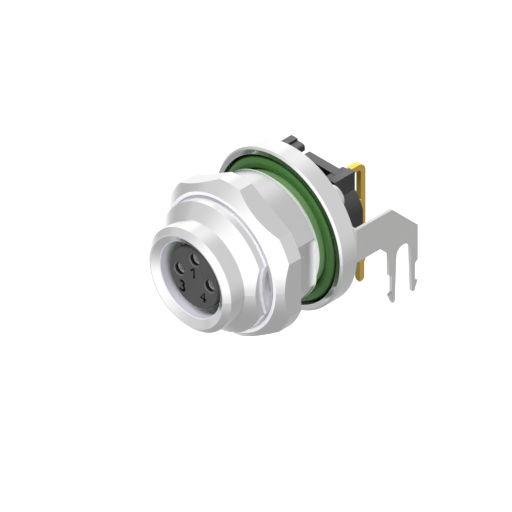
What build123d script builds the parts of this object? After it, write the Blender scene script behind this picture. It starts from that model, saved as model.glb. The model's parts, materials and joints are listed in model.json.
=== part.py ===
from build123d import *
import os
from math import cos, radians, sin

# Frame: the mating axis is Y, the mating side looks along -Y, +Z is up.
# The origin is on the axis, in the front face of the flange, where the panel seats.

# Housing: barrel, nose and flange
thread_radius = 6.0
thread_length = 7.65
flat_distance = 5.5
runout_length = 1.1
nose_radius = 4.85
nose_length = 1.57
lead_length = 0.46
lead_radius = 4.33
flange_radius = 7.5
flange_thickness = 1.85
flange_chamfer = 0.18
undercut_length = 0.95
undercut_lead = 0.1
panel_groove_land = 0.6
collar_radius = 5.5

# Housing: mating socket
mouth_radius = 4.22
mouth_depth = 0.48
socket_radius = 3.53
socket_depth = 2.4
seal_seat_radius = 3.95
web_thickness = 0.9
web_bore_radius = 3.15
rear_bore_radius = 4.6

# Hexagon nut
nut_across_flats = 14.0
nut_face_radius = 6.46
nut_thickness = 2.45
nut_gap_to_seat = 4.25
nut_clearance = 0.03
nut_edge = 0.12

# Seals
panel_ring_section = 0.6
panel_ring_gap = 0.04
panel_ring_slack = 0.21
panel_ring_depth = 0.4
face_ring_section = 0.55
seal_rest = 0.01

# Contact insert
insert_radius = 2.87
insert_recess = 0.4
insert_edge = 0.08
seal_groove_radius = 2.68
insert_body_length = 5.6
fit_clearance = 0.05
contact_pitch_radius = 1.77
pin_hole_radius = 0.52
pin_lead_radius = 0.665
pin_lead_depth = 0.2
pin_hole_depth = 0.8

# Contacts
contact_radius = 0.64
contact_clearance = 0.05
contact_setback = 0.6
contact_bore_radius = 0.45
contact_bore_depth = 4.2
contact_edge = 0.06
contact_slit_width = 0.22
contact_slit_length = 3.4
contact_length = 7.2
tail_width = 0.55
tail_bend_radius = 0.55
tail_end = 8.25
tail_tip_length = 0.3
tail_tip_width = 0.36
tail_clearance = 0.05
centre_tail_reach = 9.8
side_tail_reach = 7.9

# Rear carrier
carrier_disc_radius = 6.0
carrier_disc_thickness = 0.6
carrier_length = 3.21
carrier_radius = 5.0
carrier_half_width = 4.69
carrier_bottom = 3.1
carrier_floor = 3.6
rail_outer = 3.74
rail_thickness = 0.72
rail_start = 0.8
rail_top = 5.12
lip_inner = 2.15
lip_top = 4.92
lip_bottom = 4.3
lip_rounding = 0.28
bar_reach = 1.12
bar_top = 5.0
bar_start = 1.81
bar_thickness = 0.9

# Shield sheet
sheet_thickness = 0.3
sheet_inset = 0.5
sheet_clearance = 0.03
sheet_bend_radius = 0.05
lug_radius = 1.05
lug_rise = 0.15
lug_angle = 45.0
wing_inset = 0.2
wing_reach = 9.21
wing_top = 2.55
wing_bottom = 0.77
wing_corner = 3.0
leg_centre = 7.52
leg_half_span = 1.69
leg_half_gap = 0.83
leg_low_half_span = 1.37
leg_low_half_gap = 1.0
leg_root = 2.48
leg_root_bevel = 1.05
leg_shoulder = 4.0
leg_shoulder_drop = 0.22
leg_hook = 6.05
leg_hook_rise = 0.15
leg_tip = 6.97
leg_tip_drop = 0.2
leg_tip_half_width = 0.13

# Groove of the panel seal, inside the flange's land; its inner wall runs on as the undercut
panel_groove_radius = flange_radius - panel_groove_land
panel_groove_width = panel_ring_gap + 2 * panel_ring_section + panel_ring_slack
undercut_radius = panel_groove_radius - panel_groove_width

# Places along the axis that more than one piece shares
lead_back = -(thread_length + runout_length + nose_length)
face_y = lead_back - lead_length
rim_y = face_y + mouth_depth
seal_front = rim_y + socket_depth
seal_back = seal_front + 2 * (face_ring_section + seal_rest)
web_back = seal_back + web_thickness
insert_face = rim_y + insert_recess
insert_back = web_back + insert_body_length
chamber_front = insert_face + pin_hole_depth
contact_front = chamber_front + contact_setback
contact_back = contact_front + contact_length
panel_groove_depth = panel_ring_depth + panel_ring_section + seal_rest
sheet_back = flange_thickness + sheet_thickness
disc_back = sheet_back + carrier_disc_thickness
carrier_back = sheet_back + carrier_length


def across(y):
    """The plane square to the axis at y, with X to the right and Z up."""
    return Plane.XZ.offset(-y)


def save(piece, label):
    piece.part.label = label
    export_step(piece.part, f"parts/{label}.step")


os.makedirs("parts", exist_ok=True)

# Housing, turned from bar, with one flat milled on the barrel
with BuildPart() as housing:
    with BuildSketch(Plane.XY):
        with BuildLine():
            Polyline(
                (mouth_radius, face_y),
                (lead_radius, face_y),
                (nose_radius, lead_back),
                (nose_radius, lead_back + nose_length),
                (thread_radius, -thread_length),
                (thread_radius, -undercut_length - undercut_lead),
                (thread_radius - undercut_lead, -undercut_length),
                (undercut_radius, -undercut_length),
                (undercut_radius, panel_groove_depth),
                (panel_groove_radius, panel_groove_depth),
                (panel_groove_radius, 0),
                (flange_radius - flange_chamfer, 0),
                (flange_radius, flange_chamfer),
                (flange_radius, flange_thickness),
                (collar_radius, flange_thickness),
                (collar_radius, sheet_back),
                (rear_bore_radius, sheet_back),
                (rear_bore_radius, web_back),
                (web_bore_radius, web_back),
                (web_bore_radius, seal_back),
                (seal_seat_radius, seal_back),
                (seal_seat_radius, seal_front),
                (socket_radius, seal_front),
                (socket_radius, rim_y),
                close=True,
            )
        make_face()
    revolve(axis=Axis.Y)
    with BuildSketch(across(-thread_length - runout_length)):
        with Locations((flat_distance, 0)):
            Rectangle(thread_radius, 2 * thread_radius, align=(Align.MIN, Align.CENTER))
    extrude(amount=-(thread_length + runout_length), mode=Mode.SUBTRACT)
save(housing, "housing")

# Hexagon nut, its corners turned down to the flange's size, with a wide cone on its front face
nut_front = -nut_gap_to_seat - nut_thickness
with BuildPart() as hex_nut:
    with BuildSketch(across(nut_front)):
        RegularPolygon(nut_across_flats / 2, 6, major_radius=False, rotation=30)
        Circle(flange_radius, mode=Mode.INTERSECT)
        Circle(thread_radius + nut_clearance, mode=Mode.SUBTRACT)
    extrude(amount=-nut_thickness)
    with BuildSketch(Plane.XY):
        with BuildLine():
            cone_depth = flange_radius - nut_face_radius
            Polyline(
                (nut_face_radius, nut_front),
                (flange_radius + cone_depth, nut_front),
                (flange_radius + cone_depth, nut_front + 2 * cone_depth),
                close=True,
            )
        make_face()
    revolve(axis=Axis.Y, mode=Mode.SUBTRACT)
    bore_rims = hex_nut.edges().filter_by(
        lambda edge: edge.geom_type == GeomType.CIRCLE
        and abs(edge.radius - thread_radius - nut_clearance) < 1e-6
    )
    chamfer(bore_rims, nut_edge)
save(hex_nut, "hex_nut")

# Round seal in the groove of the flange's front face
panel_ring_radius = undercut_radius + panel_ring_gap + panel_ring_section
with BuildPart() as panel_seal:
    with BuildSketch(Plane.XY):
        with Locations((panel_ring_radius, panel_ring_depth)):
            Circle(panel_ring_section)
    revolve(axis=Axis.Y)
save(panel_seal, "panel_seal")

# Round seal at the bottom of the mating socket
face_ring_radius = seal_groove_radius + seal_rest + face_ring_section
with BuildPart() as face_seal:
    with BuildSketch(Plane.XY):
        with Locations((face_ring_radius, seal_back - seal_rest - face_ring_section)):
            Circle(face_ring_section)
    revolve(axis=Axis.Y)
save(face_seal, "face_seal")

# Contact insert, with a lead, a pin hole and a contact chamber at each place
contact_places = [(0, contact_pitch_radius), (-contact_pitch_radius, 0), (contact_pitch_radius, 0)]
chamber_radius = contact_radius + contact_clearance
with BuildPart() as contact_insert:
    with BuildSketch(Plane.XY):
        with BuildLine():
            Polyline(
                (0, insert_face),
                (insert_radius - insert_edge, insert_face),
                (insert_radius, insert_face + insert_edge),
                (insert_radius, seal_front),
                (seal_groove_radius, seal_front),
                (seal_groove_radius, seal_back),
                (web_bore_radius - fit_clearance, seal_back),
                (web_bore_radius - fit_clearance, web_back),
                (rear_bore_radius - fit_clearance, web_back),
                (rear_bore_radius - fit_clearance, insert_back),
                (0, insert_back),
                close=True,
            )
        make_face()
    revolve(axis=Axis.Y)
    with BuildSketch(across(insert_face)):
        with Locations(contact_places):
            Circle(pin_hole_radius)
    extrude(amount=-pin_hole_depth, mode=Mode.SUBTRACT)
    with BuildSketch(across(chamber_front)):
        with Locations(contact_places):
            Circle(chamber_radius)
    extrude(amount=-(insert_back - chamber_front), mode=Mode.SUBTRACT)
    hole_rims = contact_insert.faces().sort_by(Axis.Y)[0].edges().filter_by(
        lambda edge: edge.geom_type == GeomType.CIRCLE and abs(edge.radius - pin_hole_radius) < 1e-6
    )
    chamfer(hole_rims, pin_lead_depth, pin_lead_radius - pin_hole_radius)
save(contact_insert, "contact_insert")


def contact(place, reach):
    """A slit socket with a square tail, bent down through a right angle at reach."""
    x, z = place
    with BuildPart() as piece:
        with BuildSketch(across(contact_front)):
            with Locations(place):
                Circle(contact_radius)
        extrude(amount=-contact_length)
        chamfer(piece.edges().filter_by(GeomType.CIRCLE), contact_edge)
        with BuildSketch(across(contact_front)):
            with Locations(place):
                Circle(contact_bore_radius)
        extrude(amount=-contact_bore_depth, mode=Mode.SUBTRACT)
        with BuildSketch(across(contact_front)):
            with Locations(place):
                Rectangle(2 * contact_radius, contact_slit_width)
                Rectangle(contact_slit_width, 2 * contact_radius)
        extrude(amount=-contact_slit_length, mode=Mode.SUBTRACT)
        with BuildLine():
            FilletPolyline(
                (x, contact_back, z),
                (x, reach, z),
                (x, reach, tail_tip_length - tail_end),
                radius=tail_bend_radius,
            )
        with BuildSketch(across(contact_back)):
            with Locations(place):
                Rectangle(tail_width, tail_width)
        sweep()
        with BuildSketch(Plane.XY.offset(tail_tip_length - tail_end)):
            with Locations((x, reach)):
                Rectangle(tail_width, tail_width)
        with BuildSketch(Plane.XY.offset(-tail_end)):
            with Locations((x, reach)):
                Rectangle(tail_tip_width, tail_tip_width)
        loft()
    return piece


contact_reaches = [centre_tail_reach, side_tail_reach, side_tail_reach]
for number, place, reach in zip((1, 3, 4), contact_places, contact_reaches):
    save(contact(place, reach), f"contact_{number}")

# Rear carrier: a plug and disc, and behind them a block with two lipped rails and a bar
with BuildPart() as rear_carrier:
    with BuildSketch(across(insert_back)):
        Circle(rear_bore_radius - fit_clearance)
    extrude(amount=-(sheet_back - insert_back))
    with BuildSketch(across(sheet_back)):
        Circle(carrier_disc_radius)
    extrude(amount=-carrier_disc_thickness)
    with BuildSketch(across(disc_back)):
        Circle(carrier_radius)
        with Locations((0, -carrier_bottom)):
            Rectangle(
                2 * carrier_half_width,
                carrier_bottom + carrier_floor,
                align=(Align.CENTER, Align.MIN),
                mode=Mode.INTERSECT,
            )
    extrude(amount=-(carrier_back - disc_back))
    with BuildSketch(across(sheet_back + rail_start)):
        with BuildLine():
            rail_inner = rail_outer - rail_thickness
            Polyline(
                (rail_inner, 0),
                (rail_outer, 0),
                (rail_outer, rail_top),
                (rail_inner, rail_top),
                (rail_inner, lip_top),
                (lip_inner, lip_top),
                (lip_inner, lip_bottom),
                (rail_inner, lip_bottom),
                close=True,
            )
        make_face()
        fillet(vertices().group_by(Axis.X)[0].sort_by(Axis.Y)[-1], lip_rounding)
        mirror(about=Plane.YZ)
    extrude(amount=-(carrier_length - rail_start))
    with BuildSketch(across(sheet_back + bar_start)):
        with BuildLine():
            Polyline(
                (-bar_reach, 0),
                (rail_outer - rail_thickness, 0),
                (rail_outer - rail_thickness, lip_top),
                (lip_inner, bar_top),
                (-bar_reach, bar_top),
                close=True,
            )
        make_face()
    extrude(amount=-bar_thickness)
    with BuildSketch(across(insert_back)):
        with Locations(contact_places):
            Rectangle(tail_width + 2 * tail_clearance, tail_width + 2 * tail_clearance)
    extrude(amount=-(carrier_back - insert_back), mode=Mode.SUBTRACT)
save(rear_carrier, "rear_carrier")

# Shield sheet: a ring behind the flange, at each side a folded wing with a snap-in fork, and one lug
sheet_radius = flange_radius - sheet_inset
lug_reach = flange_radius + lug_rise
wing_distance = flange_radius - wing_inset
wing_inner = wing_distance - sheet_thickness
bend_outer = sheet_bend_radius + sheet_thickness
bend_x = wing_distance - bend_outer
bend_y = flange_thickness + bend_outer
with BuildPart() as shield_sheet:
    with BuildSketch(across(flange_thickness)):
        Circle(sheet_radius)
        with Locations((0, -wing_bottom)):
            Rectangle(2 * bend_x, wing_bottom + wing_top, align=(Align.CENTER, Align.MIN))
        Circle(collar_radius + sheet_clearance, mode=Mode.SUBTRACT)
    extrude(amount=-sheet_thickness)
    with BuildSketch(Plane.XY.offset(-wing_bottom)):
        with Locations((bend_x, bend_y)):
            Circle(bend_outer)
            Circle(sheet_bend_radius, mode=Mode.SUBTRACT)
            Rectangle(bend_outer, bend_outer, align=(Align.MIN, Align.MAX), mode=Mode.INTERSECT)
    extrude(amount=wing_bottom + wing_top)
    with BuildSketch(Plane.YZ.offset(wing_inner)):
        with BuildLine():
            Polyline(
                (bend_y, -wing_bottom),
                (bend_y, wing_top),
                (wing_reach - wing_corner, wing_top),
                (wing_reach, wing_top - wing_corner),
                (wing_reach, -leg_root),
                (leg_centre - leg_half_span, -leg_root),
                (leg_centre - leg_half_span, -wing_bottom - leg_root_bevel),
                (leg_centre - leg_half_span - leg_root_bevel, -wing_bottom),
                close=True,
            )
        make_face()
        with Locations((leg_centre, -leg_root)):
            Circle(leg_half_gap, mode=Mode.SUBTRACT)
        with BuildLine():
            tip_y = leg_centre + (leg_low_half_span + leg_low_half_gap) / 2
            Polyline(
                (leg_centre + leg_half_gap, -leg_root),
                (leg_centre + leg_half_span, -leg_root),
                (leg_centre + leg_half_span, -leg_shoulder),
                (leg_centre + leg_low_half_span, -leg_shoulder - leg_shoulder_drop),
                (leg_centre + leg_low_half_span, -leg_hook + leg_hook_rise),
                (leg_centre + leg_half_span, -leg_hook),
                (leg_centre + leg_low_half_span, -leg_tip + leg_tip_drop),
                (tip_y + leg_tip_half_width, -leg_tip),
                (tip_y - leg_tip_half_width, -leg_tip),
                (leg_centre + leg_low_half_gap, -leg_tip + leg_tip_drop),
                close=True,
            )
        leg = make_face()
        mirror(leg, about=Plane.YZ.offset(leg_centre))
    extrude(amount=sheet_thickness)
    mirror(about=Plane.YZ)
    with BuildSketch(across(flange_thickness)):
        lug_turn = radians(lug_angle)
        lug_centre = lug_reach - lug_radius
        with Locations((lug_centre * cos(lug_turn), lug_centre * sin(lug_turn))):
            Circle(lug_radius)
        Circle(collar_radius + sheet_clearance, mode=Mode.SUBTRACT)
    extrude(amount=-sheet_thickness)
save(shield_sheet, "shield_sheet")
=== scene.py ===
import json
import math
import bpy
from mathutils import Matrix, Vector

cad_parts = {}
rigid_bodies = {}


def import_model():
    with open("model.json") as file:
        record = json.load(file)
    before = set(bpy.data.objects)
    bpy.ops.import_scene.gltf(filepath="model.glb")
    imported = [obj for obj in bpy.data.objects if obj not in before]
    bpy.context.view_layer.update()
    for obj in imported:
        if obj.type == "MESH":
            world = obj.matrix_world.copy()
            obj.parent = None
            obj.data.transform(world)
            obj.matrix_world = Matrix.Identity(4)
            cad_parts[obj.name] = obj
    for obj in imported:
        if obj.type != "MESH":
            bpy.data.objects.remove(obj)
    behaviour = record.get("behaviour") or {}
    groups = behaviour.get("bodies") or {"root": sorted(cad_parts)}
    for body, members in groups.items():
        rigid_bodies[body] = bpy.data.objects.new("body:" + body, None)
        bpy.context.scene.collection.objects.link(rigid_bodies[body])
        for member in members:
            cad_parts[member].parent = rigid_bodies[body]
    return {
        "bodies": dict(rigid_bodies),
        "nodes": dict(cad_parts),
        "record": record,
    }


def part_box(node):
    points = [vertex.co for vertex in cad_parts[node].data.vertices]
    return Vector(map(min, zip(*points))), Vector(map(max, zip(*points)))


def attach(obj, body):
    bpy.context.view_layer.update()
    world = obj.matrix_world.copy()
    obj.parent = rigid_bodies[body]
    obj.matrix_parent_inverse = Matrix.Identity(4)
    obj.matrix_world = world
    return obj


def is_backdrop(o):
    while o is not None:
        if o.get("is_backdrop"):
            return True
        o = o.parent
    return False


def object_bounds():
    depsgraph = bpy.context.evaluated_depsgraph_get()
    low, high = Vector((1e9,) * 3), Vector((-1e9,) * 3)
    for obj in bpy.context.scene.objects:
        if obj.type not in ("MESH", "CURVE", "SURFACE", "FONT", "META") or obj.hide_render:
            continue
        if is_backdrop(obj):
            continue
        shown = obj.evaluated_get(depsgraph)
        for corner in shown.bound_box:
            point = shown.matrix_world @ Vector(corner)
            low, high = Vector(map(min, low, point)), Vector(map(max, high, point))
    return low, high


bl_info = {
    "name": "Round Sensor Connector",
    "version": (1, 0, 0),
    "blender": (4, 5, 0),
    "location": "View3D > Sidebar > Connector",
    "description": "Dresses the packed connector and sets up its studio",
    "category": "Object",
}

from collections import namedtuple

import bmesh
import bpy
from bpy.props import FloatProperty, FloatVectorProperty, PointerProperty
from bpy.types import Operator, Panel, PropertyGroup
from mathutils import Matrix, Vector

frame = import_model()

MM = 0.001

# The photograph's width in pixels, and its scale on the real part
PICTURE_PIXELS = 512
PIXELS_PER_MM = 12


def colour_field(name, description, default):
    """A colour that the user can set."""
    return FloatVectorProperty(
        name=name, description=description, subtype="COLOR", size=3, min=0, max=1, default=default,
    )


def gloss_field(name, description, default):
    """A roughness that the user can set, from 0 for a mirror to 1 for matt."""
    return FloatProperty(
        name=name, description=description, subtype="FACTOR", min=0, max=1, default=default,
    )


def length_field(name, description, millimetres):
    """A length that the user can set, given in mm and kept in metres."""
    return FloatProperty(
        name=name, description=description, unit="LENGTH", subtype="DISTANCE", min=0,
        default=millimetres * MM,
    )


class ConnectorMetals(PropertyGroup):
    """Colours and gloss of the metal pieces."""

    nickel_colour: colour_field("Nickel", "Colour of the nickel plating", (0.87, 0.87, 0.88))
    nickel_roughness: gloss_field("Nickel roughness", "How matt the plating is", 0.2)
    tool_mark_pitch: length_field("Tool mark pitch", "Distance between the lathe's marks", 0.09)
    tool_mark_depth: length_field("Tool mark depth", "Depth of the lathe's marks", 0.00012)
    bore_colour: colour_field(
        "Bore", "Colour of the matt plating inside the mating socket", (0.62, 0.61, 0.68),
    )
    # Painted reflection: the seal's pale green painted on the mating socket's wall beside it
    bore_depth_colour: colour_field(
        "Bore depth", "Colour of the plating beside the seal in the mating socket", (0.70, 0.80, 0.71),
    )
    # Painted reflection: near-white matt plating that stands in for the bright light mirrored in the
    # undercut
    shoulder_colour: colour_field(
        "Shoulder", "Colour of the matt plating in the undercut before the flange", (0.98, 0.99, 0.98),
    )
    # Painted reflection of the green seal on the undercut beside it
    shoulder_green: colour_field(
        "Seal's seat", "Colour that the green seal gives to the undercut beside it", (0.15, 0.29, 0.12),
    )
    # Painted shade: near black in the flange's groove behind the seal
    groove_colour: colour_field(
        "Seal groove", "Colour of the flange's groove behind the green seal", (0.01, 0.02, 0.008),
    )
    # Painted reflection of the green seal on the groove's outer wall
    groove_rim_colour: colour_field(
        "Groove rim", "Colour that the green seal gives to the groove's outer wall", (0.66, 0.84, 0.64),
    )
    land_colour: colour_field(
        "Flange land", "Colour of the narrow ring outside the seal's groove", (0.62, 0.62, 0.63),
    )
    # Painted shade: the barrel between the nut and the flange is darker, as if in the nut's shade
    neck_colour: colour_field(
        "Neck", "Colour of the barrel between the nut and the flange", (0.735, 0.735, 0.74),
    )
    # Painted reflection of the green seal on the bevel at the barrel's end
    neck_edge_colour: colour_field(
        "Neck edge", "Colour of the bevel at the barrel's end before the seal", (0.66, 0.80, 0.65),
    )
    # Painted reflection: lavender-white of the barrel on the ring round the nut's bore
    nut_rim_colour: colour_field(
        "Nut rim", "Colour of the matt ring round the bore on the nut's front", (0.90, 0.89, 0.94),
    )
    # Painted reflection of the barrel on the bevel of the nut's bore
    nut_bore_edge_colour: colour_field(
        "Nut bore edge", "Colour of the bevel of the nut's bore", (0.78, 0.77, 0.82),
    )
    nut_flat_colour: colour_field(
        "Nut flats", "Colour of the drawn flats of the hexagon", (0.81, 0.80, 0.81),
    )
    nut_flat_roughness: gloss_field("Nut flats roughness", "How matt the flats are", 0.26)
    # Painted shade: the thread is darker than the plating, for the shade in the gap beside the barrel's
    # flat
    thread_painted_shade_colour: colour_field("Nut thread", "Colour of the thread inside the nut", (0.70, 0.70, 0.73))
    tin_colour: colour_field("Tin", "Colour of the tinned shield sheet", (0.79, 0.79, 0.78))
    tin_roughness: gloss_field("Tin roughness", "How matt the sheet is", 0.36)
    gold_colour: colour_field("Gold", "Colour of the gold plating", (0.88, 0.56, 0.11))
    gold_roughness: gloss_field("Gold roughness", "How matt the gold is", 0.2)
    # Painted shade: darker olive gold on the tails' faces that look forward
    gold_front_painted_shade_colour: colour_field(
        "Gold front", "Colour of the thin gold on the tails' front faces", (0.30, 0.24, 0.07),
    )
    gold_front_shade_roughness: gloss_field("Gold front roughness", "How matt the thin gold is", 0.3)
    # Painted highlight: brighter yellow gold on the tails' faces that look up
    gold_top_painted_highlight_colour: colour_field(
        "Gold top", "Colour of the gold on top of the tails' bends", (0.93, 0.80, 0.14),
    )
    gold_top_highlight_roughness: gloss_field("Gold top roughness", "How matt the gold on top is", 0.25)


class ConnectorPlastics(PropertyGroup):
    """Colours, gloss and grain of the plastic and rubber pieces."""

    insert_colour: colour_field("Insert", "Colour of the contact insert", (0.048, 0.048, 0.05))
    insert_roughness: gloss_field("Insert roughness", "How matt the insert is", 0.55)
    lead_colour: colour_field(
        "Pin hole leads", "Colour of the cones at the mouths of the pin holes", (0.09, 0.09, 0.09),
    )
    lead_roughness: gloss_field("Lead roughness", "How matt those cones are", 0.2)
    # Painted shade: near black inside the pin holes
    hole_painted_shade_colour: colour_field(
        "Pin holes", "Colour of the plastic inside the pin holes", (0.008, 0.008, 0.008),
    )
    hole_shade_roughness: gloss_field("Pin hole roughness", "How matt the pin holes are", 0.6)
    carrier_colour: colour_field("Carrier", "Colour of the rear carrier", (0.009, 0.009, 0.010))
    carrier_roughness: gloss_field("Carrier roughness", "How matt the carrier is", 0.28)
    # Painted light: the carrier's upward faces are lighter grey than its sides, as if lit from above
    carrier_top_painted_light_colour: colour_field(
        "Dust", "Colour of the carrier's upper faces, where dust settles", (0.13, 0.13, 0.13),
    )
    carrier_top_light_roughness: gloss_field("Dust roughness", "How matt the dusty faces are", 0.5)
    seal_colour: colour_field("Seal", "Colour of the green seal in the flange", (0.027, 0.112, 0.012))
    seal_roughness: gloss_field("Seal roughness", "How matt the rubber is", 0.32)
    # Painted shade: near black on the seal's outer flank in the groove
    seal_flank_colour: colour_field(
        "Seal flank", "Colour of the green seal's outer flank, deep in the groove",
        (0.003, 0.006, 0.002),
    )
    # Painted light: pale green on the socket's seal, lit though it sits deep in shade
    face_seal_painted_light_colour: colour_field(
        "Socket seal", "Colour of the seal at the bottom of the mating socket", (0.72, 0.88, 0.72),
    )
    grain_size: length_field("Grain size", "Width of the moulded grain", 0.12)
    grain_depth: length_field("Grain depth", "Height of the moulded grain", 0.002)


class ConnectorFittings(PropertyGroup):
    """Sizes of the nut's thread and of the sleeves in the pin holes."""

    thread_bore_radius: length_field("Thread bore", "Radius inside the nut's thread", 5.53)
    thread_root_radius: length_field("Thread root", "Radius at which the thread joins the nut", 6.1)
    thread_edge: length_field("Thread edge", "Bevel at both ends of the thread", 0.3)
    sleeve_radius: length_field("Sleeve radius", "Outer radius of the sleeve in a pin hole", 0.515)
    sleeve_wall: length_field("Sleeve wall", "Wall of the sleeve in a pin hole", 0.025)
    sleeve_setback: length_field("Sleeve setback", "Depth of the sleeve below the insert's face", 0.47)
    sleeve_length: length_field("Sleeve length", "Length of the sleeve", 0.8)
    sleeve_colour: colour_field("Sleeve", "Colour of the sleeves", (0.50, 0.50, 0.50))
    sleeve_roughness: gloss_field("Sleeve roughness", "How matt the sleeves are", 0.4)


class ConnectorNumerals(PropertyGroup):
    """Sizes and ink of the contact numbers on the insert's face."""

    stroke: length_field("Stroke", "Width of the strokes of the contact numbers", 0.235)
    relief: length_field("Relief", "How far the numbers stand out of the face", 0.012)
    colour: colour_field("Ink", "Colour of the numbers", (0.0008, 0.0008, 0.0008))
    roughness: gloss_field("Ink roughness", "How matt the numbers are", 0.95)


class ConnectorStudio(PropertyGroup):
    """Camera, floor and light."""

    picture_width: length_field(
        "Picture width", "Width that the camera sees", PICTURE_PIXELS / PIXELS_PER_MM,
    )
    azimuth: FloatProperty(
        name="Azimuth", description="Turn of the camera round the upright axis",
        unit="ROTATION", subtype="ANGLE", default=math.radians(45),
    )
    elevation: FloatProperty(
        name="Elevation", description="Height of the camera over the horizon, isometric at first",
        unit="ROTATION", subtype="ANGLE", default=math.atan(math.sqrt(0.5)),
    )
    floor_drop: length_field("Floor drop", "Distance from the lowest tail to the floor", 45)
    key_power: FloatProperty(
        name="Key light", description="Power of the large light over the left shoulder",
        unit="POWER", min=0, default=0.85,
    )
    side_power: FloatProperty(
        name="Side light", description="Power of the soft light at the right",
        unit="POWER", min=0, default=0.55,
    )
    sky_level: FloatProperty(
        name="Fill level", description="Brightness of the light from all round",
        subtype="FACTOR", min=0, max=2, default=0.3,
    )


# Spacing of the nodes in the shader editor
COLUMN_WIDTH = 200
ROW_HEIGHT = 220


def node_of(tree, kind, place, **settings):
    """Adds a shader node at a column and row of the editor and sets its fields."""
    node = tree.nodes.new(kind)
    node.location = (place[0] * COLUMN_WIDTH, -place[1] * ROW_HEIGHT)
    for name, value in settings.items():
        setattr(node, name, value)
    return node


def free_row(tree):
    """The first row of the editor below every node of the tree."""
    return 1 + max(math.ceil(-node.location.y / ROW_HEIGHT) for node in tree.nodes)


def feed(tree, value, socket):
    """Sets a socket to a number or a colour, or links it to another socket."""
    if isinstance(value, bpy.types.NodeSocket):
        tree.links.new(value, socket)
    elif socket.type == "RGBA":
        socket.default_value = (*value[:3], 1)
    else:
        socket.default_value = value


def source_of(socket):
    """What a socket holds now: the socket that feeds it, or else its own value."""
    return socket.links[0].from_socket if socket.is_linked else socket.default_value


def combined(tree, operation, first, second, place=None, use_clamp=False):
    """Two numbers or sockets put together by a Math node."""
    node = node_of(
        tree, "ShaderNodeMath", place or (2, free_row(tree)), operation=operation, use_clamp=use_clamp,
    )
    feed(tree, first, node.inputs[0])
    feed(tree, second, node.inputs[1])
    return node.outputs[0]


def ramp(tree, value, place, start, end, low=0, high=1, curve="LINEAR"):
    """A number that goes from low to high while a value goes from start to end."""
    node = node_of(tree, "ShaderNodeMapRange", place, interpolation_type=curve)
    settings = {"Value": value, "From Min": start, "From Max": end, "To Min": low, "To Max": high}
    for name, setting in settings.items():
        feed(tree, setting, node.inputs[name])
    return node.outputs["Result"]


def colour_mix(tree, place, mask, low, high):
    """A colour that runs from low to high with a mask; either may be a socket."""
    mix = node_of(tree, "ShaderNodeMix", place, data_type="RGBA")
    feed(tree, mask, mix.inputs["Factor"])
    sides = [socket for socket in mix.inputs if socket.type == "RGBA"]
    for side, value in zip(sides, (low, high)):
        feed(tree, value, side)
    return next(socket for socket in mix.outputs if socket.type == "RGBA")


def number_mix(tree, place, mask, low, high):
    """A number that runs from low to high with a mask; either may be a socket."""
    mix = node_of(tree, "ShaderNodeMix", place, data_type="FLOAT")
    for name, value in (("Factor", mask), ("A", low), ("B", high)):
        feed(tree, value, mix.inputs[name])
    return mix.outputs["Result"]


def noise_of(tree, place, vector, rate, detail=2):
    """A noise over a position, at a rate per metre."""
    noise = node_of(tree, "ShaderNodeTexNoise", place)
    for name, value in (("Vector", vector), ("Scale", rate), ("Detail", detail)):
        feed(tree, value, noise.inputs[name])
    return noise.outputs["Fac"]


def radius_about_y(tree, apart, place):
    """Distance from the Y axis, from a node that holds a position's parts."""
    column, row = place
    across = node_of(tree, "ShaderNodeCombineXYZ", (column, row))
    reach = node_of(tree, "ShaderNodeVectorMath", (column + 1, row), operation="LENGTH")
    for axis in "XZ":
        feed(tree, apart.outputs[axis], across.inputs[axis])
    feed(tree, across.outputs[0], reach.inputs[0])
    return reach.outputs["Value"]


def new_group(name, size):
    """A node group that turns one size into a mask and a height."""
    group = bpy.data.node_groups.new(name, "ShaderNodeTree")
    group.interface.new_socket(size, in_out="INPUT", socket_type="NodeSocketFloat")
    for output in ("Mask", "Height"):
        group.interface.new_socket(output, in_out="OUTPUT", socket_type="NodeSocketFloat")
    return group


# Rate of the clouds in the grain, as a share of the grain's own
CLOUD_SHARE = 0.08


def grain_group():
    """A mask and a height for moulded grain, cloudy at two sizes."""
    group = new_group("moulded_grain", "Size")
    size = node_of(group, "NodeGroupInput", (0, 1)).outputs["Size"]
    position = node_of(group, "ShaderNodeTexCoord", (0, 0)).outputs["Object"]
    rate = combined(group, "DIVIDE", 1, size, (1, 1))
    cloud_rate = combined(group, "MULTIPLY", rate, CLOUD_SHARE, (2, 1))
    end = node_of(group, "NodeGroupOutput", (4, 0))
    feed(group, noise_of(group, (3, 0), position, rate), end.inputs["Height"])
    feed(group, noise_of(group, (3, 1), position, cloud_rate, detail=3), end.inputs["Mask"])
    return group


# Rate at which the lathe's marks fade and return, per mark, and of the plating's clouds, per metre
MARK_FADE_RATE = 0.35
PLATING_CLOUD_RATE = 240


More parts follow.
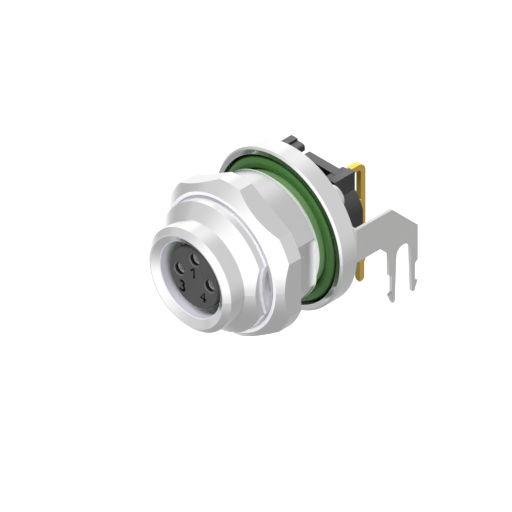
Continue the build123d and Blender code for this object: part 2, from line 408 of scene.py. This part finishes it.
def turning_group():
    """A mask and a height for the rings that a lathe leaves round the Y axis."""
    group = new_group("lathe_marks", "Pitch")
    pitch = node_of(group, "NodeGroupInput", (0, 1)).outputs["Pitch"]
    position = node_of(group, "ShaderNodeTexCoord", (0, 0)).outputs["Object"]
    apart = node_of(group, "ShaderNodeSeparateXYZ", (1, 0))
    feed(group, position, apart.inputs[0])
    radius = radius_about_y(group, apart, (2, 0))
    run = combined(group, "ADD", radius, apart.outputs["Y"], (4, 0))
    turns = combined(group, "DIVIDE", run, pitch, (5, 0))
    angle = combined(group, "MULTIPLY", turns, math.tau, (6, 0))
    wave = node_of(group, "ShaderNodeMath", (7, 0), operation="SINE")
    feed(group, angle, wave.inputs[0])
    ring = node_of(group, "ShaderNodeCombineXYZ", (6, 1))
    feed(group, turns, ring.inputs["X"])
    patch = noise_of(group, (7, 1), ring.outputs[0], MARK_FADE_RATE)
    cloud = noise_of(group, (7, 2), position, PLATING_CLOUD_RATE)
    end = node_of(group, "NodeGroupOutput", (9, 0))
    feed(group, combined(group, "MULTIPLY", wave.outputs[0], patch, (8, 0)), end.inputs["Height"])
    feed(group, combined(group, "MULTIPLY", patch, cloud, (8, 1)), end.inputs["Mask"])
    return group


def shared_group(name, build):
    """The node group of that name, built at its first use."""
    return bpy.data.node_groups.get(name) or build()


def finish_material(name, colour, metallic, roughness):
    """A material with a Principled shader, set to one finish."""
    material = bpy.data.materials.new(name)
    material.use_nodes = True
    shader = material.node_tree.nodes["Principled BSDF"]
    shader.location = (6 * COLUMN_WIDTH, 0)
    shader.inputs["Base Color"].default_value = (*colour, 1)
    shader.inputs["Metallic"].default_value = metallic
    shader.inputs["Roughness"].default_value = roughness
    return material, material.node_tree, shader


# Most of a noise's values lie between these two
NOISE_LOW = 0.3
NOISE_HIGH = 0.7


def vary(tree, shader, mask, colour, tint, roughness, spread):
    """Lets a mask move the colour by a tint and the roughness by a spread."""
    tinted = [c * tint for c in colour]
    gloss = ramp(tree, mask, (3, 1), NOISE_LOW, NOISE_HIGH, roughness - spread, roughness + spread)
    feed(tree, colour_mix(tree, (3, 0), mask, colour, tinted), shader.inputs["Base Color"])
    feed(tree, gloss, shader.inputs["Roughness"])


def raise_by(tree, shader, height, depth):
    """Shades a surface as if it stood out by a height times a depth, on top of its other bumps."""
    bump = node_of(tree, "ShaderNodeBump", (5, free_row(tree)))
    feed(tree, depth, bump.inputs["Distance"])
    feed(tree, height, bump.inputs["Height"])
    normal = shader.inputs["Normal"]
    if normal.is_linked:
        feed(tree, source_of(normal), bump.inputs["Normal"])
    feed(tree, bump.outputs["Normal"], normal)


# How far clouds in the plating move its colour and its roughness
PLATING_TINT = 0.985
PLATING_SPREAD = 0.02


def nickel_plating(name, colour, look):
    """Nickel of a colour, with a lathe's marks under the plating."""
    roughness = look.nickel_roughness
    material, tree, shader = finish_material(name, colour, 1, roughness)
    marks = node_of(tree, "ShaderNodeGroup", (1, 1))
    marks.node_tree = shared_group("lathe_marks", turning_group)
    marks.inputs["Pitch"].default_value = look.tool_mark_pitch
    vary(tree, shader, marks.outputs["Mask"], colour, PLATING_TINT, roughness, PLATING_SPREAD)
    raise_by(tree, shader, marks.outputs["Height"], look.tool_mark_depth)
    return material


def moulded(name, colour, roughness, grain, metallic=0, tint=0.9, spread=0.05):
    """Plastic, rubber or plating with a fine grain, given by its width and height."""
    material, tree, shader = finish_material(name, colour, metallic, roughness)
    texture = node_of(tree, "ShaderNodeGroup", (1, 1))
    texture.node_tree = shared_group("moulded_grain", grain_group)
    texture.inputs["Size"].default_value = grain[0]
    vary(tree, shader, texture.outputs["Mask"], colour, tint, roughness, spread)
    raise_by(tree, shader, texture.outputs["Height"], grain[1])
    return material


def in_mm(sizes):
    """Sizes in mm as metres."""
    return [size * MM for size in sizes]


def between(tree, value, limits, fade):
    """One where a value lies between two limits, fading to zero outside both."""
    low, high = limits
    row = free_row(tree)
    rise = ramp(tree, value, (-1, row), low - fade, low)
    fall = ramp(tree, value, (0, row), high, high + fade, 1, 0)
    return combined(tree, "MULTIPLY", rise, fall, (1, row))


def radius_and_run(tree, centre=(0, 0)):
    """Distance from an axis along Y through centre, and the place along it."""
    row = free_row(tree)
    place = node_of(tree, "ShaderNodeTexCoord", (-5, row))
    moved = node_of(tree, "ShaderNodeVectorMath", (-4, row), operation="SUBTRACT")
    moved.inputs[1].default_value = (centre[0], 0, centre[1])
    apart = node_of(tree, "ShaderNodeSeparateXYZ", (-3, row))
    feed(tree, place.outputs["Object"], moved.inputs[0])
    feed(tree, moved.outputs[0], apart.inputs[0])
    return radius_about_y(tree, apart, (-2, row)), apart.outputs["Y"]


def ring_mask(tree, radii, run, fades, centre=(0, 0)):
    """One in a ring round an axis along Y: radii, ends and both fades in mm, centre in metres."""
    reach, along = radius_and_run(tree, centre)
    across = between(tree, reach, in_mm(radii), fades[0] * MM)
    lengthwise = between(tree, along, in_mm(run), fades[1] * MM)
    return combined(tree, "MULTIPLY", across, lengthwise)


def normal_along(tree, axis):
    """How far a face looks along an axis, from -1 to 1."""
    row = free_row(tree)
    place = node_of(tree, "ShaderNodeTexCoord", (-3, row))
    apart = node_of(tree, "ShaderNodeSeparateXYZ", (-2, row))
    feed(tree, place.outputs["Normal"], apart.inputs[0])
    return apart.outputs[axis]


# Share of a face's normal along an axis at which the face starts to count, and counts in full
FACING_START = 0.3
FACING_FULL = 0.9


def facing_mask(tree, axis, sign):
    """One on faces that look along an axis, fading to zero on faces that lie across it."""
    normal = normal_along(tree, axis)
    return ramp(tree, normal, (1, free_row(tree)), FACING_START * sign, FACING_FULL * sign)


# Where the nut's flats lie: radii outside the bore and inside the turned corners, with their fade,
# in mm, and how far the flats' normals lean along the mating axis, with its fade
FLAT_RADII = (6.9, 7.48)
FLAT_FADE = 0.01
LEVEL = (-0.1, 0.1)
LEVEL_FADE = 0.1


def level_mask(tree):
    """One on the hexagon's flats, which lie along the mating axis."""
    level = between(tree, normal_along(tree, "Y"), LEVEL, LEVEL_FADE)
    reach, _ = radius_and_run(tree)
    outside = between(tree, reach, in_mm(FLAT_RADII), FLAT_FADE * MM)
    return combined(tree, "MULTIPLY", level, outside)


def largest(tree, masks):
    """The largest of several masks."""
    level = masks[0]
    for mask in masks[1:]:
        level = combined(tree, "MAXIMUM", level, mask)
    return level


def other_finish(material, mask, colour, roughness, metallic=0):
    """Gives the masked part of a material another colour, gloss and metal."""
    tree = material.node_tree
    inputs = tree.nodes["Principled BSDF"].inputs
    row = free_row(tree)
    finishes = (
        ("Base Color", colour_mix, colour), ("Roughness", number_mix, roughness),
        ("Metallic", number_mix, metallic),
    )
    for column, (name, mix, value) in enumerate(finishes, start=3):
        feed(tree, mix(tree, (column, row), mask, source_of(inputs[name]), value), inputs[name])


# A ring-shaped zone with a finish of its own: the field that holds its colour; in mm its radii,
# its ends along the mating axis, and the fades of both; its roughness and its share of metal
Zone = namedtuple("Zone", "colour radii run fades roughness metallic")


def finish_zones(material, look, zones):
    """Gives each zone of a material its own finish."""
    for zone in zones:
        mask = ring_mask(material.node_tree, zone.radii, zone.run, zone.fades)
        other_finish(material, mask, getattr(look, zone.colour), zone.roughness, zone.metallic)


def sunk_inwards(material, radii, slope):
    """Shades the faces between two radii as if they sank towards the inner one by a slope."""
    tree = material.node_tree
    inner, outer = in_mm(radii)
    reach, _ = radius_and_run(tree)
    height = ramp(tree, reach, (2, free_row(tree)), inner, outer, -slope, 0)
    raise_by(tree, tree.nodes["Principled BSDF"], height, outer - inner)


def piece_from(shape, name, material):
    """An object at the origin from a finished bmesh, which is freed."""
    mesh = bpy.data.meshes.new(name)
    shape.to_mesh(mesh)
    shape.free()
    mesh.materials.append(material)
    piece = bpy.data.objects.new(name, mesh)
    bpy.context.scene.collection.objects.link(piece)
    return piece


# An edge between faces that turn by more than this stays sharp
SHARP_ANGLE = math.radians(30)


def turned_ring(name, outline, material, steps, centre=(0, 0)):
    """A ring turned round the Y axis from a closed outline of (radius, y) corners."""
    shape = bmesh.new()
    corners = [shape.verts.new((radius, y, 0)) for radius, y in outline]
    edges = [shape.edges.new((a, b)) for a, b in zip(corners, corners[1:] + corners[:1])]
    bmesh.ops.spin(
        shape, geom=corners + edges, cent=(0, 0, 0), axis=(0, 1, 0),
        angle=math.tau, steps=steps, use_merge=True,
    )
    bmesh.ops.translate(shape, verts=shape.verts, vec=(centre[0], 0, centre[1]))
    bmesh.ops.recalc_face_normals(shape, faces=shape.faces)
    for face in shape.faces:
        face.smooth = True
    piece = piece_from(shape, name, material)
    piece.data.set_sharp_from_angle(angle=SHARP_ANGLE)
    return piece


def dress(nodes, material):
    """Puts a material on every slot of the named nodes."""
    for name in nodes:
        for slot in frame["nodes"][name].material_slots:
            slot.material = material


def pin_places():
    """Middle of each pin hole on the insert's face, by its number, from the record."""
    places = {}
    for mount in frame["record"]["mounts"]:
        if mount["name"].startswith("pin_hole_"):
            x, _, z = mount["pos_m"]
            places[mount["name"][-1]] = (x, z)
    return places


# Where the plating is matt in the socket and duller on the land; painted shade behind the nut and in
# the groove; painted reflections of the seal's green and of bright light
HOUSING_ZONES = (
    Zone(
        "bore_colour", radii=(0, 3.56), run=(-12, -7), fades=(0.05, 0.05),
        roughness=0.4, metallic=0.1,
    ),
    # Painted reflection of the green seal on the socket's wall, deeper in
    Zone(
        "bore_depth_colour", radii=(0, 3.56), run=(-8.95, -7), fades=(0.45, 0.45),
        roughness=0.4, metallic=0.1,
    ),
    # Painted shade: darker barrel behind the nut
    Zone(
        "neck_colour", radii=(5.4, 6.1), run=(-4.3, -1.08), fades=(0.05, 0.02),
        roughness=0.22, metallic=1,
    ),
    # Painted reflection: near-white matt undercut, for the bright light mirrored there
    Zone(
        "shoulder_colour", radii=(5, 5.9), run=(-1.2, 0), fades=(0.1, 0.7),
        roughness=0.5, metallic=0.1,
    ),
    # Painted reflection of the green seal on the bevel at the barrel's end
    Zone(
        "neck_edge_colour", radii=(5.86, 6.05), run=(-1.14, -0.9), fades=(0.02, 0.06),
        roughness=0.5, metallic=0.1,
    ),
    # Painted reflection of the green seal on the undercut beside it
    Zone(
        "shoulder_green", radii=(5, 5.5), run=(-0.5, 1.2), fades=(0.05, 0.05),
        roughness=0.4, metallic=0,
    ),
    Zone(
        "land_colour", radii=(6.95, 7.31), run=(-0.1, 0.02), fades=(0.02, 0.01),
        roughness=0.12, metallic=1,
    ),
    # Painted shade: near black in the flange's groove behind the seal
    Zone(
        "groove_colour", radii=(5.6, 6.92), run=(0.65, 1.2), fades=(0.04, 0.1),
        roughness=0.9, metallic=0,
    ),
    # Painted reflection of the green seal on the groove's outer wall
    Zone(
        "groove_rim_colour", radii=(6.8, 6.98), run=(0.03, 0.6), fades=(0.03, 0.02),
        roughness=0.2, metallic=0.6,
    ),
)

# Painted reflection of the barrel: the matt lavender-white ring on the nut's front, and the bevel of
# its bore
NUT_ZONES = (
    Zone(
        "nut_rim_colour", radii=(6.17, 6.45), run=(-6.8, -6.66), fades=(0.02, 0.02),
        roughness=0.4, metallic=0.1,
    ),
    Zone(
        "nut_bore_edge_colour", radii=(5.9, 6.14), run=(-6.8, -6.5), fades=(0.02, 0.02),
        roughness=0.4, metallic=0.1,
    ),
)

# Radii in mm of the flange's land, and how steeply it seems to sink towards the seal's groove
FLANGE_LAND = (6.9, 7.31)
LAND_SLOPE = 0.45


class CONNECTOR_OT_turned_metal(Operator):
    """Nickel plating on the housing and the hexagon nut"""

    bl_idname = "connector.turned_metal"
    bl_label = "Housing and Nut"

    def execute(self, context):
        look = context.scene.connector_metals
        housing = self.nickel("housing", look)
        finish_zones(housing, look, HOUSING_ZONES)
        sunk_inwards(housing, FLANGE_LAND, LAND_SLOPE)
        nut = self.nickel("hex_nut", look)
        flats = level_mask(nut.node_tree)
        other_finish(nut, flats, look.nut_flat_colour, look.nut_flat_roughness, 1)
        finish_zones(nut, look, NUT_ZONES)
        return {"FINISHED"}

    def nickel(self, node, look):
        """Dresses a node in nickel and gives its material back."""
        plating = nickel_plating(f"{node}_nickel", look.nickel_colour, look)
        dress([node], plating)
        return plating


# Faces round the thread's ring
THREAD_STEPS = 128


class CONNECTOR_OT_nut_thread(Operator):
    """Thread inside the nut, which closes the gap beside the barrel's flat"""

    bl_idname = "connector.nut_thread"
    bl_label = "Nut Thread"

    def execute(self, context):
        look = context.scene.connector_metals
        fittings = context.scene.connector_fittings
        inner, outer = fittings.thread_bore_radius, fittings.thread_root_radius
        edge = fittings.thread_edge
        front, back = (corner.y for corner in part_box("hex_nut"))
        # Painted shade: the thread's darker colour
        nickel = nickel_plating("thread_nickel", look.thread_painted_shade_colour, look)
        outline = (
            (inner + edge, front), (outer, front), (outer, back), (inner + edge, back),
            (inner, back - edge), (inner, front + edge),
        )
        thread = turned_ring("nut_thread", outline, nickel, THREAD_STEPS)
        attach(thread, "nut")
        return {"FINISHED"}


# Faces round a sleeve, and the width and height of its grain
SLEEVE_STEPS = 48
SLEEVE_GRAIN = (0.1 * MM, 0.0003 * MM)


class CONNECTOR_OT_pin_sleeves(Operator):
    """A grey sleeve below the insert's face in each pin hole"""

    bl_idname = "connector.pin_sleeves"
    bl_label = "Pin Sleeves"

    def execute(self, context):
        fittings = context.scene.connector_fittings
        outer = fittings.sleeve_radius
        inner = outer - fittings.sleeve_wall
        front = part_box("contact_insert")[0].y + fittings.sleeve_setback
        back = front + fittings.sleeve_length
        lead = fittings.sleeve_wall / 2
        outline = (
            (inner + lead, front), (outer, front), (outer, back), (inner, back), (inner, front + lead),
        )
        grey = moulded(
            "sleeve_grey", fittings.sleeve_colour, fittings.sleeve_roughness, SLEEVE_GRAIN, tint=0.94,
        )
        for number, place in pin_places().items():
            sleeve = turned_ring(f"pin_sleeve_{number}", outline, grey, SLEEVE_STEPS, place)
            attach(sleeve, "connector")
        return {"FINISHED"}


# Width and height of the tin's grain
TIN_GRAIN = (0.2 * MM, 0.0006 * MM)


class CONNECTOR_OT_shield(Operator):
    """Matt tin on the shield sheet"""

    bl_idname = "connector.shield"
    bl_label = "Shield Sheet"

    def execute(self, context):
        look = context.scene.connector_metals
        tin = moulded(
            "matt_tin", look.tin_colour, look.tin_roughness, TIN_GRAIN,
            metallic=1, tint=0.96, spread=0.04,
        )
        dress(["shield_sheet"], tin)
        return {"FINISHED"}


# Width and height of the gold's grain
GOLD_GRAIN = (0.15 * MM, 0.0004 * MM)


class CONNECTOR_OT_contacts(Operator):
    """Gold plating on the contacts and their tails"""

    bl_idname = "connector.contacts"
    bl_label = "Contacts"

    def execute(self, context):
        look = context.scene.connector_metals
        gold = moulded(
            "gold_plating", look.gold_colour, look.gold_roughness, GOLD_GRAIN,
            metallic=1, tint=0.93, spread=0.05,
        )
        # Painted shade on the tails' faces that look forward
        front = facing_mask(gold.node_tree, "Y", -1)
        other_finish(gold, front, look.gold_front_painted_shade_colour, look.gold_front_shade_roughness, 1)
        # Painted highlight on the tails' faces that look up
        top = facing_mask(gold.node_tree, "Z", 1)
        other_finish(gold, top, look.gold_top_painted_highlight_colour, look.gold_top_highlight_roughness, 1)
        dress(["contact_1", "contact_3", "contact_4"], gold)
        return {"FINISHED"}


# Painted shade on the outer flank of the green seal, deep in the groove
SEAL_ZONES = (
    Zone(
        "seal_flank_colour", radii=(6.63, 6.8), run=(-0.3, 1.1), fades=(0.08, 0.05),
        roughness=0.7, metallic=0,
    ),
)


class CONNECTOR_OT_seals(Operator):
    """Green rubber on the two seals"""

    bl_idname = "connector.seals"
    bl_label = "Seals"

    def execute(self, context):
        look = context.scene.connector_plastics
        green = self.rubber("panel_seal", look.seal_colour, look)
        # Painted shade on the seal's outer flank
        finish_zones(green, look, SEAL_ZONES)
        # Painted light: the socket's seal is paler than the panel seal
        self.rubber("face_seal", look.face_seal_painted_light_colour, look)
        return {"FINISHED"}

    def rubber(self, node, colour, look):
        """Dresses a node in rubber and gives its material back."""
        rubber = moulded(
            f"{node}_rubber", colour, look.seal_roughness, (look.grain_size, look.grain_depth),
            tint=0.85, spread=0.06,
        )
        dress([node], rubber)
        return rubber


# Places in a pin hole, in mm: radii of its lead and of the hole, how far below the insert's face
# both start and end, and the fades of radius and run
LEAD_RADII = (0.54, 0.64)
HOLE_RADII = (0, 0.53)
HOLE_START = 0.03
HOLE_END = 2
HOLE_FADES = (0.02, 0.02)


class CONNECTOR_OT_plastics(Operator):
    """Black moulded plastic on the insert and the carrier"""

    bl_idname = "connector.plastics"
    bl_label = "Insert and Carrier"

    def execute(self, context):
        look = context.scene.connector_plastics
        grain = (look.grain_size, look.grain_depth)
        insert = moulded("insert_plastic", look.insert_colour, look.insert_roughness, grain)
        leads = self.pin_mask(insert.node_tree, LEAD_RADII)
        other_finish(insert, leads, look.lead_colour, look.lead_roughness)
        # Painted shade inside the pin holes
        holes = self.pin_mask(insert.node_tree, HOLE_RADII)
        other_finish(insert, holes, look.hole_painted_shade_colour, look.hole_shade_roughness)
        dress(["contact_insert"], insert)
        carrier = moulded("carrier_plastic", look.carrier_colour, look.carrier_roughness, grain)
        # Painted light on the carrier's upward faces
        top = facing_mask(carrier.node_tree, "Z", 1)
        other_finish(carrier, top, look.carrier_top_painted_light_colour, look.carrier_top_light_roughness)
        dress(["rear_carrier"], carrier)
        return {"FINISHED"}

    def pin_mask(self, tree, radii):
        """One between two radii of every pin hole, from just below the insert's face."""
        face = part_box("contact_insert")[0].y / MM
        run = (face + HOLE_START, face + HOLE_END)
        places = pin_places().values()
        rings = [ring_mask(tree, radii, run, HOLE_FADES, place) for place in places]
        return largest(tree, rings)


# Straight runs in an arc of a contact number
ARC_STEPS = 12


def arc(centre, radius, start, end):
    """Points along an arc, in mm; the angles are in degrees."""
    angles = [math.radians(start + (end - start) * n / ARC_STEPS) for n in range(ARC_STEPS + 1)]
    return [(centre[0] + radius * math.cos(a), centre[1] + radius * math.sin(a)) for a in angles]


def numeral_strokes():
    """The pen strokes of each contact number, in mm across and up on the insert's face."""
    return {
        "1": [[(-0.35, 0.58), (0.03, 0.9), (0.03, -0.02)]],
        "3": [arc((-1.38, -1.21), 0.22, 150, -80) + arc((-1.36, -1.67), 0.26, 80, -160)],
        "4": [[(1.24, -1.88), (1.24, -0.96), (0.84, -1.56), (1.46, -1.56)]],
    }


# The ink's grain, by width and height, and how much it shines; the roundness of the pen's line,
# and the distance under which the points of its caps are one
INK_GRAIN = (0.1 * MM, 0.0005 * MM)
INK_SHINE = 0.1
PEN_SEGMENTS = 3
WELD_DISTANCE = 0.001 * MM


class CONNECTOR_OT_numerals(Operator):
    """Contact numbers on the insert's face"""

    bl_idname = "connector.numerals"
    bl_label = "Contact Numbers"

    def execute(self, context):
        look = context.scene.connector_numerals
        ink = moulded("number_ink", look.colour, look.roughness, INK_GRAIN)
        ink.node_tree.nodes["Principled BSDF"].inputs["Specular IOR Level"].default_value = INK_SHINE
        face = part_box("contact_insert")[0].y
        for word, strokes in numeral_strokes().items():
            shape = self.pen_line(context, strokes, look.stroke / 2)
            flat = (1, look.relief / (look.stroke / 2), 1)
            bmesh.ops.scale(shape, verts=shape.verts, vec=flat)
            bmesh.ops.translate(shape, verts=shape.verts, vec=(0, face, 0))
            bmesh.ops.recalc_face_normals(shape, faces=shape.faces)
            piece = piece_from(shape, f"number_{word}", ink)
            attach(piece, "connector")
        return {"FINISHED"}

    def pen_line(self, context, strokes, radius):
        """A round line along the strokes, as a bmesh."""
        curve = bpy.data.curves.new("pen_line", "CURVE")
        curve.dimensions = "3D"
        curve.bevel_depth = radius
        curve.bevel_resolution = PEN_SEGMENTS
        curve.use_fill_caps = True
        for points in strokes:
            line = curve.splines.new("POLY")
            line.points.add(len(points) - 1)
            for point, (x, z) in zip(line.points, points):
                point.co = (x * MM, 0, z * MM, 1)
        holder = bpy.data.objects.new("pen_line", curve)
        context.scene.collection.objects.link(holder)
        context.view_layer.update()
        drawn = holder.evaluated_get(context.evaluated_depsgraph_get())
        mesh = bpy.data.meshes.new_from_object(drawn)
        bpy.data.objects.remove(holder)
        shape = bmesh.new()
        shape.from_mesh(mesh)
        bpy.data.meshes.remove(mesh)
        bmesh.ops.remove_doubles(shape, verts=shape.verts, dist=WELD_DISTANCE)
        return shape


def white_for_lens(tree, place):
    """One where a camera, glossy or transmission ray looks, else zero."""
    column, row = place
    path = node_of(tree, "ShaderNodeLightPath", place).outputs
    both = combined(tree, "ADD", path["Is Camera Ray"], path["Is Glossy Ray"], (column + 1, row))
    return combined(
        tree, "ADD", both, path["Is Transmission Ray"], (column + 2, row), use_clamp=True,
    )


def direction(azimuth, elevation):
    """Unit vector out of the object; azimuth 0 looks along -Y and a quarter turn along +X."""
    level = math.cos(elevation)
    return Vector((math.sin(azimuth) * level, -math.cos(azimuth) * level, math.sin(elevation)))


# Soft panels of the studio's tent, seen only in gloss:
# azimuth, elevation, angle where the panel starts to fade, angle where it ends, brightness
TENT_PANELS = (
    (100, 15, 75, 135, 1.2),
    (-125, -15, 45, 55, 1.2),
    (-95, 0, 0, 35, 0.5),
    (115, 40, 30, 75, 0.7),
    (125, -70, 25, 80, 0.4),
    (180, -15, 0, 50, 0.65),
)
TENT_SHADE = 0.72


def tent_material():
    """White and grey panels with soft edges, by direction."""
    material = bpy.data.materials.new("tent_panels")
    material.use_nodes = True
    material.cycles.emission_sampling = "NONE"
    tree = material.node_tree
    tree.nodes.clear()
    place = node_of(tree, "ShaderNodeTexCoord", (0, 0))
    aim = node_of(tree, "ShaderNodeVectorMath", (1, 0), operation="NORMALIZE")
    feed(tree, place.outputs["Object"], aim.inputs[0])
    level = TENT_SHADE
    for column, (*angles, grey) in enumerate(TENT_PANELS, start=2):
        azimuth, elevation, inner, outer = (math.radians(angle) for angle in angles)
        near = node_of(tree, "ShaderNodeVectorMath", (column, 1), operation="DOT_PRODUCT")
        near.inputs[1].default_value = direction(azimuth, elevation)
        feed(tree, aim.outputs["Vector"], near.inputs[0])
        edge = ramp(
            tree, near.outputs["Value"], (column, 2), math.cos(outer), math.cos(inner),
            curve="SMOOTHSTEP",
        )
        level = number_mix(tree, (column + 1, 0), edge, level, grey)
    glow = node_of(tree, "ShaderNodeEmission", (9, 0))
    out = node_of(tree, "ShaderNodeOutputMaterial", (10, 0))
    feed(tree, level, glow.inputs["Strength"])
    feed(tree, glow.outputs[0], out.inputs["Surface"])
    return material


# The floor, and the glow that makes it white for the lens
FLOOR_COLOUR = (0.85, 0.85, 0.85)
FLOOR_ROUGHNESS = 0.9
FLOOR_GLOW = 0.5


def floor_material():
    """Pale floor that the lens sees as white, apart from a shadow."""
    material, tree, shader = finish_material("pale_floor", FLOOR_COLOUR, 0, FLOOR_ROUGHNESS)
    lift = combined(tree, "MULTIPLY", white_for_lens(tree, (0, 3)), FLOOR_GLOW, (4, 3))
    glow = node_of(tree, "ShaderNodeEmission", (5, 3))
    both = node_of(tree, "ShaderNodeAddShader", (7, 1))
    feed(tree, lift, glow.inputs["Strength"])
    feed(tree, shader.outputs[0], both.inputs[0])
    feed(tree, glow.outputs[0], both.inputs[1])
    feed(tree, both.outputs[0], tree.nodes["Material Output"].inputs["Surface"])
    return material


# Plane of the mating socket's rim, and the middle of the picture right of it and above it
SOCKET_RIM = -10.3 * MM
AIM_RIGHT = 5.4717 * MM
AIM_UP = 1.99 * MM

# Sizes of the studio, in metres
CAMERA_DISTANCE = 0.15
CLIP_START = 0.001
CLIP_END = 2
FLOOR_REACH = 3
TENT_RADIUS = 0.6
LAMP_DISTANCE = 0.3
LAMP_SIZE = 0.2

# Each lamp's name and the direction in which it stands; the power is a field of the studio
LAMPS = {"key": (-0.45, -0.6, 1.0), "side": (0.8, -0.55, 0.4)}

# Strength at which the world looks white
WHITE = 1


class CONNECTOR_OT_stage(Operator):
    """Camera, floor, tent and light"""

    bl_idname = "connector.stage"
    bl_label = "Studio"

    def execute(self, context):
        studio = context.scene.connector_studio
        scene = context.scene
        scene.view_settings.view_transform = "Standard"
        self.camera(scene, studio)
        self.floor(studio)
        self.tent()
        self.light(scene, studio)
        self.world(scene, studio)
        return {"FINISHED"}

    def camera(self, scene, studio):
        """A parallel view at the photograph's angle, aimed beside the mating socket's rim."""
        back = direction(studio.azimuth, studio.elevation)
        right = Vector((math.cos(studio.azimuth), math.sin(studio.azimuth), 0))
        up = back.cross(right)
        aim = Vector((0, SOCKET_RIM, 0)) + right * AIM_RIGHT + up * AIM_UP
        lens = bpy.data.cameras.new("camera")
        lens.type = "ORTHO"
        lens.ortho_scale = studio.picture_width
        lens.clip_start = CLIP_START
        lens.clip_end = CLIP_END
        camera = bpy.data.objects.new("camera", lens)
        camera.location = aim + back * CAMERA_DISTANCE
        camera.rotation_euler = Matrix((right, up, back)).transposed().to_euler()
        scene.collection.objects.link(camera)
        scene.camera = camera

    def floor(self, studio):
        """A pale floor under the object."""
        shape = bmesh.new()
        bmesh.ops.create_grid(shape, x_segments=2, y_segments=2, size=FLOOR_REACH)
        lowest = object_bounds()[0].z
        bmesh.ops.translate(shape, verts=shape.verts, vec=(0, 0, lowest - studio.floor_drop))
        floor = piece_from(shape, "floor", floor_material())
        floor.visible_glossy = False
        floor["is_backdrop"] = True

    def tent(self):
        """A ball of soft panels round the object, seen only in its gloss."""
        shape = bmesh.new()
        bmesh.ops.create_icosphere(shape, subdivisions=4, radius=TENT_RADIUS)
        bmesh.ops.reverse_faces(shape, faces=shape.faces)
        tent = piece_from(shape, "tent", tent_material())
        tent.visible_camera = False
        tent.visible_diffuse = False
        tent.visible_transmission = False
        tent.visible_shadow = False
        tent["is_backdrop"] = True

    def light(self, scene, studio):
        """One lamp over the left shoulder, and a lower one at the right."""
        for name, place in LAMPS.items():
            lamp = bpy.data.lights.new(name, "AREA")
            lamp.shape = "DISK"
            lamp.size = LAMP_SIZE
            lamp.energy = getattr(studio, f"{name}_power")
            light = bpy.data.objects.new(name, lamp)
            outward = Vector(place).normalized()
            light.location = outward * LAMP_DISTANCE
            light.rotation_euler = outward.to_track_quat("Z", "Y").to_euler()
            light.visible_glossy = False
            light.visible_camera = False
            scene.collection.objects.link(light)

    def world(self, scene, studio):
        """White for the lens, and a dim fill for everything else."""
        world = bpy.data.worlds.new("studio")
        world.use_nodes = True
        scene.world = world
        tree = world.node_tree
        tree.nodes.clear()
        mix = node_of(tree, "ShaderNodeMixShader", (5, 0))
        out = node_of(tree, "ShaderNodeOutputWorld", (6, 0))
        feed(tree, white_for_lens(tree, (0, 0)), mix.inputs[0])
        for number, strength in enumerate((studio.sky_level, WHITE), start=1):
            sky = node_of(tree, "ShaderNodeBackground", (4, number))
            feed(tree, (1, 1, 1), sky.inputs["Color"])
            feed(tree, strength, sky.inputs["Strength"])
            feed(tree, sky.outputs[0], mix.inputs[number])
        feed(tree, mix.outputs[0], out.inputs["Surface"])


class CONNECTOR_PT_panel(Panel):
    """Sizes, colours and steps of the connector's dressing"""

    bl_idname = "CONNECTOR_PT_panel"
    bl_label = "Connector"
    bl_space_type = "VIEW_3D"
    bl_region_type = "UI"
    bl_category = "Connector"

    def draw(self, context):
        for group in SETTINGS:
            box = self.layout.box()
            settings = getattr(context.scene, group)
            for name in settings.bl_rna.properties.keys():
                if name not in {"rna_type", "name"}:
                    box.prop(settings, name)
        for step in STEPS:
            self.layout.operator(step.bl_idname)


SETTINGS = {
    "connector_metals": ConnectorMetals,
    "connector_plastics": ConnectorPlastics,
    "connector_fittings": ConnectorFittings,
    "connector_numerals": ConnectorNumerals,
    "connector_studio": ConnectorStudio,
}

STEPS = (
    CONNECTOR_OT_turned_metal,
    CONNECTOR_OT_nut_thread,
    CONNECTOR_OT_pin_sleeves,
    CONNECTOR_OT_shield,
    CONNECTOR_OT_contacts,
    CONNECTOR_OT_seals,
    CONNECTOR_OT_plastics,
    CONNECTOR_OT_numerals,
    CONNECTOR_OT_stage,
)


def register():
    for name, group in SETTINGS.items():
        bpy.utils.register_class(group)
        setattr(bpy.types.Scene, name, PointerProperty(type=group))
    for step in STEPS:
        bpy.utils.register_class(step)
    bpy.utils.register_class(CONNECTOR_PT_panel)


def unregister():
    bpy.utils.unregister_class(CONNECTOR_PT_panel)
    for step in reversed(STEPS):
        bpy.utils.unregister_class(step)
    for name, group in SETTINGS.items():
        delattr(bpy.types.Scene, name)
        bpy.utils.unregister_class(group)


def clear_start_scene():
    """Removes what a new file holds beside the frame."""
    kept = {*frame["nodes"].values(), *frame["bodies"].values()}
    for thing in list(bpy.data.objects):
        if thing not in kept:
            bpy.data.objects.remove(thing)


def main():
    clear_start_scene()
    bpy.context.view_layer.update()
    register()
    for step in STEPS:
        group, name = step.bl_idname.split(".")
        getattr(getattr(bpy.ops, group), name)()


if __name__ == "__main__":
    main()
